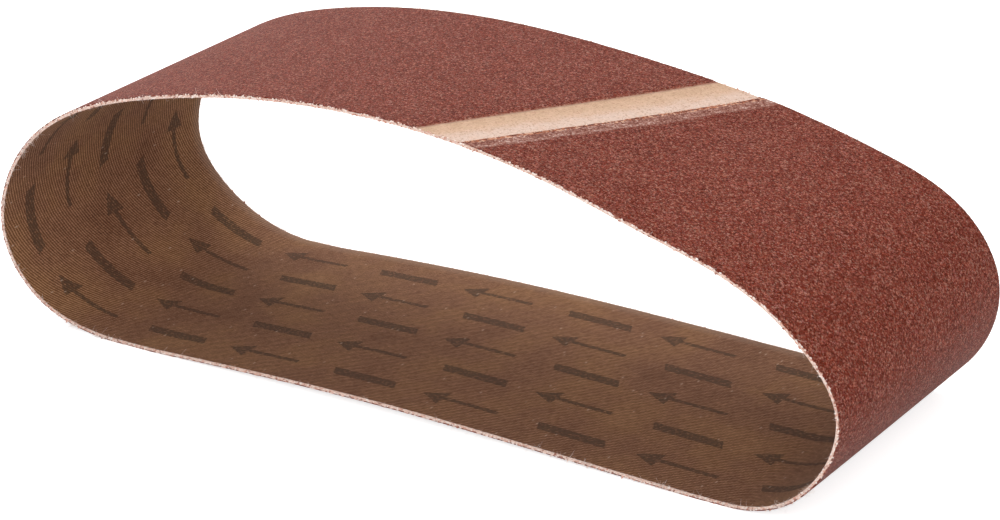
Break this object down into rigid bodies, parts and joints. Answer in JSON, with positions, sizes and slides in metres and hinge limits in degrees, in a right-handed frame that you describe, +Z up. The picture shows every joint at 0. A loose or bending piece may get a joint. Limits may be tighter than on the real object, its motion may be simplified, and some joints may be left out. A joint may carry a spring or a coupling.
{
  "type": "sanding belt",
  "caption": "Endless cloth-backed sanding belt with a slanted lap joint, relaxed into a flattened loop and lying on its lower run.",
  "frame": {"origin": "on the ground under the middle of the loop, half way across the belt", "axes": "+X along the loop towards its tighter end, +Y across the belt's width from the front edge to the back edge, +Z up"},
  "size_m": [0.2358, 0.075, 0.0732],
  "materials": {
    "backing_cloth": "matt woven cloth sized with brown resin, pale broken yarn ends at the cut edges",
    "grit_coat": "matt fine grit bonded in red-brown resin",
    "splice_adhesive": "thin peach-coloured adhesive over ground cloth"
  },
  "bodies": {
    "root": {"backing_cloth": "backing_cloth", "grit_coat": "grit_coat", "splice_adhesive": "splice_adhesive"}
  },
  "joints": []
}
